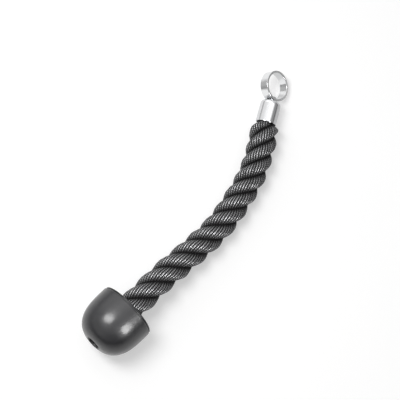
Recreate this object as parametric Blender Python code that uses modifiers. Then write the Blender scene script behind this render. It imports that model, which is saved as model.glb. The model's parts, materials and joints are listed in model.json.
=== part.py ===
# Single-hand cable rope for triceps work: a swivelling steel eye on a pressed cup,
# a short hard-laid rope of three strands, and a rubber end stopper held by a bolt.
# Metres, +Z up. The rope lies on the ground plane z = 0 with its long side along +X:
# the stopper is at -X and the eye at +X.

import math

import bmesh
import bpy
import numpy as np
from mathutils import Matrix, Vector

# Clearances
SEAT_GAP = 0.0003           # between pieces that touch
STRAND_GAP = 0.0004         # least room between two strands
CUT_OVERRUN = 0.0020        # how far a cutter reaches past what it cuts

# Rope
ROPE_DIAMETER = 0.0306
STRAND_COUNT = 3
LAY_AT_STOPPER = 0.0780     # length of one full turn of a strand, slack near the stopper
LAY_AT_EYE = 0.0510
LAY_PHASE = math.radians(64.0)  # of the first strand at the rope's end in the stopper
NECK_START = 0.0020         # the rope is still narrow this far out of a cup
NECK_LENGTH = 0.0060        # over which it then swells to its free size
STRAIGHT_END = 0.0040       # last stretch of the strands inside a cup, without twist
UNTWIST_LENGTH = 0.0090     # over which the twist fades before it

# Route of the rope's centre line, from inside the stopper to inside the eye's cup:
# x, y, and the share of the way up from lying flat to the height of the stopper's mouth
ROUTE = [
    (-0.1511, 0.0023, 1.196), (-0.1396, 0.0003, 1.098), (-0.1281, -0.0018, 1.000),
    (-0.1162, -0.0041, 0.896), (-0.1042, -0.0061, 0.788), (-0.0922, -0.0080, 0.675),
    (-0.0772, -0.0107, 0.533), (-0.0622, -0.0141, 0.398), (-0.0473, -0.0176, 0.278),
    (-0.0323, -0.0211, 0.171), (-0.0172, -0.0243, 0.089), (-0.0022, -0.0266, 0.030),
    (0.0129, -0.0276, 0.000), (0.0279, -0.0274, 0.000), (0.0429, -0.0267, 0.000),
    (0.0580, -0.0253, 0.000), (0.0732, -0.0225, 0.000), (0.0884, -0.0180, 0.000),
    (0.1035, -0.0124, 0.002), (0.1209, -0.0044, 0.012), (0.1299, -0.0012, 0.022),
    (0.1390, 0.0020, 0.032),
]

# Cup on the eye end
EYE_CUP_DIAMETER = 0.0220
EYE_CUP_WALL = 0.0013
EYE_CUP_CROWN = 0.0020
EYE_CUP_LENGTH = 0.0250
EYE_CUP_SHOULDER = 0.0045   # outer radius between side and crown
CUP_LIP = 0.0005            # rounding of a cup's open edge

# Eye and the pin it turns on
EYE_DIAMETER = 0.0330
EYE_WALL = 0.0024
EYE_WIDTH = 0.0100
EYE_EDGE = 0.0003
EYE_HOLE_CLEARANCE = 0.0006
EYE_ROCK = math.radians(6.0)    # the loose eye leans on its seat
EYE_TURN = math.radians(45.0)   # of the eye's bore from upright, about the cup's axis
PIN_DIAMETER = 0.0060
PIN_HEAD_DIAMETER = 0.0082
PIN_HEAD_HEIGHT = 0.0018
PIN_TAIL_DIAMETER = 0.0090
PIN_TAIL_HEIGHT = 0.0014
PIN_WASHER_THICKNESS = 0.0015

# Rubber stopper
STOPPER_DIAMETER = 0.0645
STOPPER_LENGTH = 0.0508
STOPPER_SIDE = 0.0103           # straight part of the side, from the mouth face
STOPPER_LIP_LENGTH = 0.0024     # stepped lip round the mouth face
STOPPER_LIP_STEP = 0.0008
STOPPER_LIP_EDGE = 0.0004
STOPPER_MOUTH_CLEARANCE = 0.0006
STOPPER_MOUTH_DEPTH = 0.0332
STOPPER_MOUTH_EDGE = 0.0015
STOPPER_WEB = 0.0060            # rubber clamped between the washer and the inner cup
STOPPER_RECESS_DIAMETER = 0.0150
STOPPER_RECESS_EDGE = 0.0018
DOME_FULLNESS = 2.7             # exponent of the dome's outline, 2 is an ellipse

# Inner cup pressed on the rope's other end, and what bolts the stopper to it
END_CUP_WALL = 0.0015
END_CUP_FLOOR = 0.0020
END_CUP_LENGTH = 0.0230
END_CUP_SHOULDER = 0.0025
BOLT_DIAMETER = 0.0080
BOLT_HEAD_CLEARANCE = 0.0010    # between the head and the recess's wall
BOLT_HEAD_HEIGHT = 0.0044
BOLT_HEAD_EDGE = 0.0015         # width of the head's rounded edge
BOLT_SOCKET_WIDTH = 0.0050      # across the flats
BOLT_SOCKET_DEPTH = 0.0025
BOLT_OVERHANG = 0.0010
BOLT_CLEARANCE = 0.0004
NUT_WIDTH = 0.0130              # across the flats
NUT_HEIGHT = 0.0040
NUT_EDGE = 0.0005
STOPPER_WASHER_CLEARANCE = 0.0004   # between its edge and the recess's wall
STOPPER_WASHER_THICKNESS = 0.0016

# Finishes: colour, roughness and metallic value
POLISHED_CHROME = ((0.80, 0.80, 0.81), 0.10, 1.0)
PLATED_STEEL = ((0.55, 0.56, 0.57), 0.35, 1.0)
ROPE_FIBRE = ((0.035, 0.035, 0.038), 0.55, 0.0)
DARK_RUBBER = ((0.075, 0.075, 0.080), 0.38, 0.0)

# Fineness
ROUND_STEPS = 56
INNER_ROUND_STEPS = 32
SMALL_ROUND_STEPS = 24
ARC_STEPS = 5
FINE_ARC_STEPS = 2              # on roundings up to the fine size
FINE_ROUNDING = 0.0006
DOME_STEPS = 12
POINTS_PER_TURN = 16            # along a strand
NECK_POINTS = 5                 # along a strand where the rope swells out of a cup
STRAND_BEVEL_STEPS = 2
ROUTE_SAMPLES = 1200
LIFT_ROUNDS = 8                 # of settling the stopper onto the ground
FIT_ROUNDS = 14                 # of halving the range of the strands' thickness
LEAST_STRAND_SHARE = 0.2        # of the rope's radius, a strand certain to be too thin
MOST_STRAND_SHARE = 0.5         # and one certain to be too thick
GAP_SAMPLES = 4                 # per point along a strand, when gaps are measured
SMOOTH_ANGLE = math.radians(35.0)
WELD_DISTANCE = 0.00001

# What follows from the sizes
ROPE_RADIUS = ROPE_DIAMETER / 2
EYE_CUP_RADIUS = EYE_CUP_DIAMETER / 2
EYE_RADIUS = EYE_DIAMETER / 2
STOPPER_RADIUS = STOPPER_DIAMETER / 2
MOUTH_RADIUS = ROPE_RADIUS + STOPPER_MOUTH_CLEARANCE
END_CUP_RADIUS = ROPE_RADIUS
EYE_CUP_BORE = EYE_CUP_RADIUS - EYE_CUP_WALL
END_CUP_BORE = END_CUP_RADIUS - END_CUP_WALL
EYE_CUP_INNER_SHOULDER = EYE_CUP_SHOULDER - EYE_CUP_CROWN
PIN_WASHER_RADIUS = EYE_CUP_BORE - EYE_CUP_INNER_SHOULDER
STOPPER_RECESS_RADIUS = STOPPER_RECESS_DIAMETER / 2
STOPPER_WASHER_RADIUS = STOPPER_RECESS_RADIUS - STOPPER_WASHER_CLEARANCE
BOLT_HEAD_RADIUS = STOPPER_RECESS_RADIUS - BOLT_HEAD_CLEARANCE
BOLT_HOLE_RADIUS = BOLT_DIAMETER / 2 + BOLT_CLEARANCE

# Places along the eye end's axis, from the rope's end face towards the eye
PIN_TAIL_Z = SEAT_GAP
PIN_WASHER_Z = PIN_TAIL_Z + PIN_TAIL_HEIGHT + SEAT_GAP
EYE_CROWN_Z = PIN_WASHER_Z + PIN_WASHER_THICKNESS + SEAT_GAP
EYE_CUP_TOP_Z = EYE_CROWN_Z + EYE_CUP_CROWN
EYE_CUP_RIM_Z = EYE_CUP_TOP_Z - EYE_CUP_LENGTH
EYE_BAND_Z = EYE_CUP_TOP_Z + SEAT_GAP + EYE_WIDTH / 2 * math.sin(EYE_ROCK)

# Places along the stopper's axis, from the rope's end face towards the dome
BOLT_TIP_Z = SEAT_GAP
NUT_Z = BOLT_TIP_Z + BOLT_OVERHANG
END_FLOOR_Z = NUT_Z + NUT_HEIGHT + SEAT_GAP
END_CUP_TOP_Z = END_FLOOR_Z + END_CUP_FLOOR
END_CUP_RIM_Z = END_CUP_TOP_Z - END_CUP_LENGTH
MOUTH_FLOOR_Z = END_CUP_TOP_Z + SEAT_GAP
MOUTH_FACE_Z = MOUTH_FLOOR_Z - STOPPER_MOUTH_DEPTH
RECESS_FLOOR_Z = MOUTH_FLOOR_Z + STOPPER_WEB
STOPPER_WASHER_Z = RECESS_FLOOR_Z + SEAT_GAP
BOLT_HEAD_Z = STOPPER_WASHER_Z + STOPPER_WASHER_THICKNESS + SEAT_GAP


def clear_scene():
    for thing in list(bpy.data.objects):
        bpy.data.objects.remove(thing, do_unlink=True)


def make_collection(name):
    collection = bpy.data.collections.new(name)
    bpy.context.scene.collection.children.link(collection)
    return collection


def make_material(name, finish):
    colour, roughness, metallic = finish
    material = bpy.data.materials.new(name)
    material.use_nodes = True
    shader = material.node_tree.nodes["Principled BSDF"]
    shader.inputs["Base Color"].default_value = (*colour, 1.0)
    shader.inputs["Roughness"].default_value = roughness
    shader.inputs["Metallic"].default_value = metallic
    material.diffuse_color = (*colour, 1.0)
    return material


def rounded(corners):
    """Profile points (radius, height) from corners (radius, height, rounding)."""
    points = []
    count = len(corners)
    for index, (radius, height, rounding) in enumerate(corners):
        here = Vector((radius, height))
        if rounding == 0:
            points.append(here)
            continue
        before = (Vector(corners[index - 1][:2]) - here).normalized()
        after = (Vector(corners[(index + 1) % count][:2]) - here).normalized()
        half_angle = before.angle(after) / 2
        reach = rounding / math.tan(half_angle)
        centre = here + (before + after).normalized() * (rounding / math.sin(half_angle))
        start = here + before * reach - centre
        sweep = start.angle_signed(here + after * reach - centre)
        steps = ARC_STEPS if rounding > FINE_ROUNDING else FINE_ARC_STEPS
        for step in range(steps + 1):
            turn = Matrix.Rotation(-sweep * step / steps, 2)
            points.append(centre + turn @ start)
    return [(point.x, point.y) for point in points]


def turned(name, points, steps, collection, finish=None, closed=True):
    """A solid turned about local Z from profile points that run down its outer side."""
    mesh = bpy.data.meshes.new(name)
    shape = bmesh.new()
    chain = [shape.verts.new((radius, 0, height)) for radius, height in points]
    for first, second in zip(chain, chain[1:]):
        shape.edges.new((first, second))
    if closed:
        shape.edges.new((chain[-1], chain[0]))
    shape.to_mesh(mesh)
    shape.free()
    solid = bpy.data.objects.new(name, mesh)
    collection.objects.link(solid)
    screw = solid.modifiers.new("turn", "SCREW")
    screw.angle = math.tau
    screw.steps = steps
    screw.render_steps = steps
    screw.use_merge_vertices = True
    screw.merge_threshold = WELD_DISTANCE
    screw.use_smooth_shade = True
    if finish:
        mesh.materials.append(make_material(name, finish))
    return solid


def bore_cutter(name, radius, depth, collection):
    """A round cutter standing on its origin, reaching past the solid at both ends."""
    profile = [(0, depth + CUT_OVERRUN), (radius, depth + CUT_OVERRUN),
               (radius, -CUT_OVERRUN), (0, -CUT_OVERRUN)]
    return turned(name, profile, SMALL_ROUND_STEPS, collection, closed=False)


def cut(solid, cutter):
    cutter.hide_render = True
    cutter.display_type = "WIRE"
    difference = solid.modifiers.new("cut " + cutter.name, "BOOLEAN")
    difference.operation = "DIFFERENCE"
    difference.solver = "EXACT"
    difference.object = cutter


def prism(name, width, height, collection):
    """A six-sided bar standing on its origin, with its width measured across the flats."""
    mesh = bpy.data.meshes.new(name)
    shape = bmesh.new()
    corner_radius = width / 2 / math.cos(math.pi / 6)
    bmesh.ops.create_cone(shape, cap_ends=True, segments=6, radius1=corner_radius,
                          radius2=corner_radius, depth=height)
    bmesh.ops.translate(shape, verts=shape.verts, vec=(0, 0, height / 2))
    shape.to_mesh(mesh)
    shape.free()
    bar = bpy.data.objects.new(name, mesh)
    collection.objects.link(bar)
    return bar


def place(piece, parent, height=0.0):
    piece.parent = parent
    piece.location = (0, 0, height)


def smooth_line(points):
    """A natural cubic spline through the points: arc lengths, places and directions."""
    knots = np.concatenate(([0], np.cumsum(np.linalg.norm(np.diff(points, axis=0), axis=1))))
    steps = np.diff(knots)
    count = len(points)
    system = np.eye(count)
    right_side = np.zeros((count, 3))
    for row in range(1, count - 1):
        system[row, row - 1] = steps[row - 1]
        system[row, row] = 2 * (steps[row - 1] + steps[row])
        system[row, row + 1] = steps[row]
        slope_after = (points[row + 1] - points[row]) / steps[row]
        slope_before = (points[row] - points[row - 1]) / steps[row - 1]
        right_side[row] = 6 * (slope_after - slope_before)
    bend = np.linalg.solve(system, right_side)
    along = np.linspace(0, knots[-1], ROUTE_SAMPLES)
    span = np.clip(np.searchsorted(knots, along, side="right") - 1, 0, count - 2)
    width = steps[span][:, None]
    after = (along - knots[span])[:, None] / width
    before = 1 - after
    places = (before * points[span] + after * points[span + 1]
              + ((before**3 - before) * bend[span] + (after**3 - after) * bend[span + 1])
              * width**2 / 6)
    lengths = np.concatenate(([0], np.cumsum(np.linalg.norm(np.diff(places, axis=0), axis=1))))
    directions = np.gradient(places, lengths, axis=0)
    directions /= np.linalg.norm(directions, axis=1)[:, None]
    return lengths, places, directions


def stopper_outline():
    """Outer side of the stopper from the recess down to the lip, as (radius, height)."""
    top = MOUTH_FACE_Z + STOPPER_LENGTH
    dome_start = MOUTH_FACE_Z + STOPPER_SIDE
    dome_height = top - dome_start
    edge_radius = STOPPER_RECESS_RADIUS + STOPPER_RECESS_EDGE
    first_angle = math.asin((edge_radius / STOPPER_RADIUS) ** (DOME_FULLNESS / 2))
    points = []
    for step in range(DOME_STEPS + 1):
        angle = first_angle + (math.pi / 2 - first_angle) * step / DOME_STEPS
        radius = STOPPER_RADIUS * math.sin(angle) ** (2 / DOME_FULLNESS)
        rise = max(math.cos(angle), 0) ** (2 / DOME_FULLNESS)
        points.append((radius, dome_start + dome_height * rise))
    return points


def stopper_profile():
    outline = stopper_outline()
    edge_top = outline[0][1]
    lip_radius = STOPPER_RADIUS - STOPPER_LIP_STEP
    lip_top = MOUTH_FACE_Z + STOPPER_LIP_LENGTH
    lower = rounded([
        (*outline[-1], 0),
        (STOPPER_RADIUS, lip_top, STOPPER_LIP_EDGE),
        (lip_radius, lip_top, 0),
        (lip_radius, MOUTH_FACE_Z, STOPPER_LIP_EDGE),
        (MOUTH_RADIUS, MOUTH_FACE_Z, STOPPER_MOUTH_EDGE),
        (MOUTH_RADIUS, MOUTH_FLOOR_Z, 0),
        (BOLT_HOLE_RADIUS, MOUTH_FLOOR_Z, 0),
        (BOLT_HOLE_RADIUS, RECESS_FLOOR_Z, 0),
        (STOPPER_RECESS_RADIUS, RECESS_FLOOR_Z, 0),
        (STOPPER_RECESS_RADIUS, edge_top - STOPPER_RECESS_EDGE, 0),
    ])
    edge = []
    for step in range(1, ARC_STEPS):
        angle = math.pi / 2 * step / ARC_STEPS
        edge.append((STOPPER_RECESS_RADIUS + STOPPER_RECESS_EDGE * (1 - math.cos(angle)),
                     edge_top - STOPPER_RECESS_EDGE * (1 - math.sin(angle))))
    return outline[:-1] + lower + edge


def lowest_of_stopper(start, direction):
    """Height of the lowest point of the stopper's outside, with its axis along a line."""
    outline = stopper_outline() + [
        (STOPPER_RADIUS, MOUTH_FACE_Z + STOPPER_LIP_LENGTH + STOPPER_LIP_EDGE),
        (STOPPER_RADIUS - STOPPER_LIP_STEP, MOUTH_FACE_Z + STOPPER_LIP_EDGE),
    ]
    tilt = math.asin(-direction[2])
    return min(start[2] + z * math.sin(tilt) - radius * math.cos(tilt) for radius, z in outline)


def route_line():
    """The rope's centre line, lifted until the stopper's edge just touches z = 0."""
    lift = STOPPER_RADIUS - ROPE_RADIUS
    for _ in range(LIFT_ROUNDS):
        points = np.array([(x, y, ROPE_RADIUS + share * lift) for x, y, share in ROUTE])
        line = smooth_line(points)
        lift -= lowest_of_stopper(line[1][0], line[2][0]) / ROUTE[0][2]
    return line


def station(name, point, direction, collection):
    """An empty at the point: local Z along the direction, local X upwards."""
    along = Vector(direction).normalized()
    across = along.cross(Vector((0, 0, 1))).normalized()
    upwards = across.cross(along)
    frame = Matrix((upwards, across, along)).transposed().to_4x4()
    frame.translation = point
    empty = bpy.data.objects.new(name, None)
    empty.empty_display_size = ROPE_RADIUS
    empty.matrix_world = frame
    collection.objects.link(empty)
    return empty


def side_frames(directions):
    """Two directions across the line at each sample, carried along it without twist."""
    first = np.zeros_like(directions)
    first[0] = np.cross(directions[0], (0, 0, 1))
    first[0] /= np.linalg.norm(first[0])
    for index in range(1, len(directions)):
        carried = first[index - 1] - directions[index] * (first[index - 1] @ directions[index])
        first[index] = carried / np.linalg.norm(carried)
    return first, np.cross(directions, first)


def rope_scale(lengths, total):
    """Rope radius at each arc length as a share of its free radius."""
    near_stopper = (END_CUP_BORE - SEAT_GAP) / ROPE_RADIUS
    near_eye = (EYE_CUP_BORE - SEAT_GAP) / ROPE_RADIUS
    out_of_stopper = np.clip((lengths + END_CUP_RIM_Z - NECK_START) / NECK_LENGTH, 0, 1)
    out_of_eye = np.clip((total - lengths + EYE_CUP_RIM_Z - NECK_START) / NECK_LENGTH, 0, 1)
    swell_stopper = out_of_stopper**2 * (3 - 2 * out_of_stopper)
    swell_eye = out_of_eye**2 * (3 - 2 * out_of_eye)
    return np.minimum(near_stopper + (1 - near_stopper) * swell_stopper,
                      near_eye + (1 - near_eye) * swell_eye)


def strand_lines(line, strand_share):
    """Centre points of the strands, and their radii, for a strand radius share."""
    lengths, places, directions = line
    first, second = side_frames(directions)
    total = lengths[-1]
    lay = LAY_AT_STOPPER + (LAY_AT_EYE - LAY_AT_STOPPER) * lengths / total
    from_end = np.minimum(lengths, total - lengths)
    rate = math.tau / lay * np.clip((from_end - STRAIGHT_END) / UNTWIST_LENGTH, 0, 1)
    twist = np.concatenate(([0], np.cumsum((rate[1:] + rate[:-1]) / 2 * np.diff(lengths))))
    scale = rope_scale(lengths, total)
    wanted = np.linspace(0, twist[-1], int(POINTS_PER_TURN * twist[-1] / math.tau))
    stops = [np.interp(angle, twist, lengths) for angle in wanted[1:-1]]
    stops += [0, STRAIGHT_END, total - STRAIGHT_END, total]
    # the two necks bend the strands most, so each has its own closer points
    neck_reach = NECK_START + NECK_LENGTH
    for neck_start in (-END_CUP_RIM_Z + NECK_START, total + EYE_CUP_RIM_Z - neck_reach):
        stops = [stop for stop in stops if not neck_start <= stop <= neck_start + NECK_LENGTH]
        stops += list(np.linspace(neck_start, neck_start + NECK_LENGTH, NECK_POINTS))
    stops = np.array(sorted(stops))

    def at_stops(values):
        return np.stack([np.interp(stops, lengths, values[:, axis]) for axis in range(3)], axis=1)

    middle = at_stops(places)
    across, upwards = at_stops(first), at_stops(second)
    angle = np.interp(stops, lengths, twist) + LAY_PHASE
    size = np.interp(stops, lengths, scale) * ROPE_RADIUS
    paths = []
    for index in range(STRAND_COUNT):
        turn = (angle + math.tau * index / STRAND_COUNT)[:, None]
        off_centre = (size * (1 - strand_share))[:, None]
        paths.append(middle + off_centre * (np.cos(turn) * across + np.sin(turn) * upwards))
    return paths, size * strand_share


def least_gap(paths, radii):
    """Least room between two neighbouring strands, on points along their centre lines."""
    whole = np.arange(len(radii))
    parts = np.linspace(0, whole[-1], whole[-1] * GAP_SAMPLES + 1)
    fine = [np.stack([np.interp(parts, whole, path[:, axis]) for axis in range(3)], axis=1)
            for path in paths[:2]]
    fine_radii = np.interp(parts, whole, radii)
    spans = np.linalg.norm(fine[0][:, None] - fine[1][None], axis=2)
    return float((spans - fine_radii[:, None] - fine_radii[None]).min())


def fitting_strand_share(line):
    """The thickest strand that still leaves the wanted room to its neighbours."""
    low, high = LEAST_STRAND_SHARE, MOST_STRAND_SHARE
    for _ in range(FIT_ROUNDS):
        middle = (low + high) / 2
        if least_gap(*strand_lines(line, middle)) > STRAND_GAP:
            low = middle
        else:
            high = middle
    return low


def make_strands(line, collection):
    paths, radii = strand_lines(line, fitting_strand_share(line))
    print("least gap between strands, mm:", round(1000 * least_gap(paths, radii), 3))
    thickest = float(radii.max())
    for index, path in enumerate(paths):
        name = f"rope_strand_{index + 1}"
        curve = bpy.data.curves.new(name, "CURVE")
        curve.dimensions = "3D"
        curve.bevel_depth = thickest
        curve.bevel_resolution = STRAND_BEVEL_STEPS
        curve.use_fill_caps = True
        spline = curve.splines.new("POLY")
        spline.points.add(len(path) - 1)
        for point, centre, radius in zip(spline.points, path, radii):
            point.co = (*centre, 1)
            point.radius = float(radius) / thickest
        strand = bpy.data.objects.new(name, curve)
        curve.materials.append(make_material(name, ROPE_FIBRE))
        collection.objects.link(strand)


def make_stopper(frame, collection):
    stopper = turned("rubber_stopper", stopper_profile(), ROUND_STEPS, collection, DARK_RUBBER)
    place(stopper, frame)


def make_end_cup(frame, collection):
    profile = rounded([
        (END_CUP_RADIUS, END_CUP_TOP_Z, END_CUP_SHOULDER),
        (END_CUP_RADIUS, END_CUP_RIM_Z, CUP_LIP),
        (END_CUP_BORE, END_CUP_RIM_Z, CUP_LIP),
        (END_CUP_BORE, END_FLOOR_Z, END_CUP_SHOULDER - END_CUP_WALL),
        (BOLT_HOLE_RADIUS, END_FLOOR_Z, 0),
        (BOLT_HOLE_RADIUS, END_CUP_TOP_Z, 0),
    ])
    place(turned("end_cup", profile, INNER_ROUND_STEPS, collection, PLATED_STEEL), frame)


def make_end_nut(frame, collection, cutters):
    nut = prism("end_nut", NUT_WIDTH, NUT_HEIGHT, collection)
    nut.data.materials.append(make_material("end_nut", PLATED_STEEL))
    place(nut, frame, NUT_Z)
    bevel = nut.modifiers.new("edges", "BEVEL")
    bevel.width = NUT_EDGE
    bevel.segments = 1
    bore = bore_cutter("nut_bore", BOLT_HOLE_RADIUS, NUT_HEIGHT, cutters)
    place(bore, frame, NUT_Z)
    cut(nut, bore)


def washer(name, outer_radius, hole_radius, thickness, collection):
    profile = [(outer_radius, thickness), (outer_radius, 0),
               (hole_radius, 0), (hole_radius, thickness)]
    return turned(name, profile, SMALL_ROUND_STEPS, collection, PLATED_STEEL)


def make_stopper_bolt(frame, collection, cutters):
    shank_radius = BOLT_DIAMETER / 2
    head_top = BOLT_HEAD_Z + BOLT_HEAD_HEIGHT
    flat_radius = BOLT_HEAD_RADIUS - BOLT_HEAD_EDGE
    profile = [(0, head_top), (flat_radius, head_top)]
    for step in range(1, ARC_STEPS + 1):
        angle = math.pi / 2 * step / ARC_STEPS
        profile.append((flat_radius + BOLT_HEAD_EDGE * math.sin(angle),
                        BOLT_HEAD_Z + BOLT_HEAD_HEIGHT * math.cos(angle)))
    profile += [(shank_radius, BOLT_HEAD_Z), (shank_radius, BOLT_TIP_Z), (0, BOLT_TIP_Z)]
    bolt = turned("stopper_bolt", profile, SMALL_ROUND_STEPS, collection, PLATED_STEEL,
                  closed=False)
    place(bolt, frame)
    socket = prism("bolt_socket", BOLT_SOCKET_WIDTH, BOLT_SOCKET_DEPTH + CUT_OVERRUN, cutters)
    place(socket, frame, head_top - BOLT_SOCKET_DEPTH)
    cut(bolt, socket)


def make_eye_cup(frame, collection):
    pin_hole_radius = PIN_DIAMETER / 2 + SEAT_GAP
    profile = rounded([
        (EYE_CUP_RADIUS, EYE_CUP_TOP_Z, EYE_CUP_SHOULDER),
        (EYE_CUP_RADIUS, EYE_CUP_RIM_Z, CUP_LIP),
        (EYE_CUP_BORE, EYE_CUP_RIM_Z, CUP_LIP),
        (EYE_CUP_BORE, EYE_CROWN_Z, EYE_CUP_INNER_SHOULDER),
        (pin_hole_radius, EYE_CROWN_Z, 0),
        (pin_hole_radius, EYE_CUP_TOP_Z, 0),
    ])
    place(turned("eye_cup", profile, ROUND_STEPS, collection, POLISHED_CHROME), frame)


def pin_head_height():
    """Height of the pin head's underside, clear of the curved and leaning band."""
    inner_radius = EYE_RADIUS - EYE_WALL
    head_radius = PIN_HEAD_DIAMETER / 2
    highest = 0
    for step in range(SMALL_ROUND_STEPS):
        angle = math.tau * step / SMALL_ROUND_STEPS
        over_curve = head_radius * math.cos(angle)
        over_width = head_radius * math.sin(angle)
        rise = inner_radius - math.sqrt(inner_radius**2 - over_curve**2)
        highest = max(highest, rise + over_width * math.tan(EYE_ROCK))
    return EYE_BAND_Z + EYE_WALL / math.cos(EYE_ROCK) + highest + SEAT_GAP


def make_swivel_pin(frame, collection):
    shank_radius = PIN_DIAMETER / 2
    head_radius = PIN_HEAD_DIAMETER / 2
    head_z = pin_head_height()
    profile = []
    for step in range(ARC_STEPS + 1):
        angle = math.pi / 2 * step / ARC_STEPS
        profile.append((head_radius * math.sin(angle), head_z + PIN_HEAD_HEIGHT * math.cos(angle)))
    profile += [
        (shank_radius, head_z),
        (shank_radius, PIN_TAIL_Z + PIN_TAIL_HEIGHT),
        (PIN_TAIL_DIAMETER / 2, PIN_TAIL_Z + PIN_TAIL_HEIGHT),
        (PIN_TAIL_DIAMETER / 2, PIN_TAIL_Z),
        (0, PIN_TAIL_Z),
    ]
    pin = turned("swivel_pin", profile, SMALL_ROUND_STEPS, collection, POLISHED_CHROME,
                 closed=False)
    place(pin, frame)


def make_eye_ring(axis, collection, cutters):
    inner_radius = EYE_RADIUS - EYE_WALL
    half = EYE_WIDTH / 2
    profile = rounded([
        (EYE_RADIUS, half, EYE_EDGE), (EYE_RADIUS, -half, EYE_EDGE),
        (inner_radius, -half, EYE_EDGE), (inner_radius, half, EYE_EDGE),
    ])
    ring = turned("eye_ring", profile, ROUND_STEPS, collection, POLISHED_CHROME)
    seat = Matrix.Rotation(EYE_TURN, 4, "Z") @ Matrix.Rotation(-EYE_ROCK, 4, "Y")
    middle = Matrix.Translation((0, 0, EYE_RADIUS))
    ring.parent = axis
    ring.matrix_basis = seat @ middle @ Matrix.Rotation(math.pi / 2, 4, "Y")
    hole = bore_cutter("eye_hole", PIN_DIAMETER / 2 + EYE_HOLE_CLEARANCE, EYE_WALL, cutters)
    hole.parent = axis
    hole.matrix_basis = seat
    cut(ring, hole)


def main():
    clear_scene()
    parts = make_collection("triceps_rope")
    cutters = make_collection("cutters")

    line = route_line()
    lengths, places, directions = line
    stopper_frame = station("stopper_frame", places[0], -directions[0], parts)
    eye_frame = station("eye_frame", places[-1], directions[-1], parts)
    swivel_axis = bpy.data.objects.new("swivel_axis", None)
    swivel_axis.empty_display_size = EYE_RADIUS
    parts.objects.link(swivel_axis)
    place(swivel_axis, eye_frame, EYE_BAND_Z)

    make_strands(line, parts)
    make_stopper(stopper_frame, parts)
    make_end_cup(stopper_frame, parts)
    make_end_nut(stopper_frame, parts, cutters)
    stopper_washer = washer("stopper_washer", STOPPER_WASHER_RADIUS, BOLT_HOLE_RADIUS,
                            STOPPER_WASHER_THICKNESS, parts)
    place(stopper_washer, stopper_frame, STOPPER_WASHER_Z)
    make_stopper_bolt(stopper_frame, parts, cutters)

    make_eye_cup(eye_frame, parts)
    pin_washer = washer("pin_washer", PIN_WASHER_RADIUS, PIN_DIAMETER / 2 + SEAT_GAP,
                        PIN_WASHER_THICKNESS, parts)
    place(pin_washer, eye_frame, PIN_WASHER_Z)
    make_swivel_pin(eye_frame, parts)
    make_eye_ring(swivel_axis, parts, cutters)

    bpy.context.view_layer.update()
    for part in parts.objects:
        if part.type == "MESH":
            part.data.set_sharp_from_angle(angle=SMOOTH_ANGLE)
    print("rope length, mm:", round(1000 * float(lengths[-1]), 1))
    for empty in (stopper_frame, eye_frame, swivel_axis):
        axis = empty.matrix_world.to_3x3() @ Vector((0, 0, 1))
        print(empty.name, [round(v, 5) for v in empty.matrix_world.translation],
              [round(v, 5) for v in axis])


main()
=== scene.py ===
# Looks of a single-hand triceps rope: chromed eye and cup, three-strand rope of dark
# glossy yarn, and a moulded rubber stopper. Metres, +Z up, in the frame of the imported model.

import bpy
import json
import math
import numpy as np
from mathutils import Matrix, Vector


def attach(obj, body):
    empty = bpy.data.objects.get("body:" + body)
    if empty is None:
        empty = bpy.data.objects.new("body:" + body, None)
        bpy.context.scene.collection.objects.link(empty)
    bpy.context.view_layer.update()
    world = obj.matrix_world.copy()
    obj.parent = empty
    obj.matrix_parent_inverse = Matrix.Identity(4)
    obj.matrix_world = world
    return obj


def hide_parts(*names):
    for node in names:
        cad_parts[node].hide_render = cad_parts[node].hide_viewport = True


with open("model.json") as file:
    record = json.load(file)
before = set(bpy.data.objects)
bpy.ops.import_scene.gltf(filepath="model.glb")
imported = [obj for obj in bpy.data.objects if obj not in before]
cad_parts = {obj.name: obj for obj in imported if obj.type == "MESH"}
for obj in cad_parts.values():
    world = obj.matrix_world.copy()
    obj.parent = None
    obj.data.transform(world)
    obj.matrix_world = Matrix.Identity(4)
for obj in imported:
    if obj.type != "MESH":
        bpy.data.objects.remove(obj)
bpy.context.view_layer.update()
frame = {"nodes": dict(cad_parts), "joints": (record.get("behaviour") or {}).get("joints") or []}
print("frame loaded")


# modelling and placing

spinning = {
    "seedSize": 0.001,              # of the plane that is merged to the first vertex
    "chainWeld": 0.000001,          # joins the ends of a closed outline
    "seamWeld": 0.000002,           # joins the last turn to the first, and what meets on the axis
    "holdGap": 0.0002,              # from the ends of a long line to the points that hold it
    "longLine": 0.0010,             # length from which a line has them
    "sharpFrom": 35,                # degrees between faces, from which their edge is sharp
}


def deselectAll():
    bpy.ops.object.select_all(action="DESELECT")


def pick(piece):
    deselectAll()
    piece.select_set(True)
    bpy.context.view_layer.objects.active = piece


def standAlong(place, direction):
    along = Vector(direction).normalized()      # local Z runs along it, local X points up
    across = along.cross(Vector((0, 0, 1))).normalized()
    stand = Matrix((across.cross(along), across, along)).transposed().to_4x4()
    stand.translation = Vector(place)
    return stand


def setDown(piece, place):
    piece.matrix_world = place
    pick(piece)
    bpy.ops.object.transform_apply(location=True, rotation=True, scale=True)


def arcCorner(corner, start, end, steps):
    # points of a quarter of an oval from start to end, round the corner between them
    points = []
    for step in range(steps + 1):
        turn = math.pi / 2 * step / steps
        points.append(tuple(a + (b - a) * math.sin(turn) + (c - b) * (1 - math.cos(turn))
                            for a, b, c in zip(start, corner, end)))
    return points


def holdStraights(outline):
    # points near the ends of each long straight line keep its shading flat
    held = []
    for here, there in zip(outline, outline[1:] + outline[:1]):
        held.append(here)
        length = math.dist(here, there)
        if length > spinning["longLine"]:
            gap = spinning["holdGap"] / length
            for share in (gap, 1 - gap):
                held.append(tuple(a + (b - a) * share for a, b in zip(here, there)))
    return held


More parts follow.
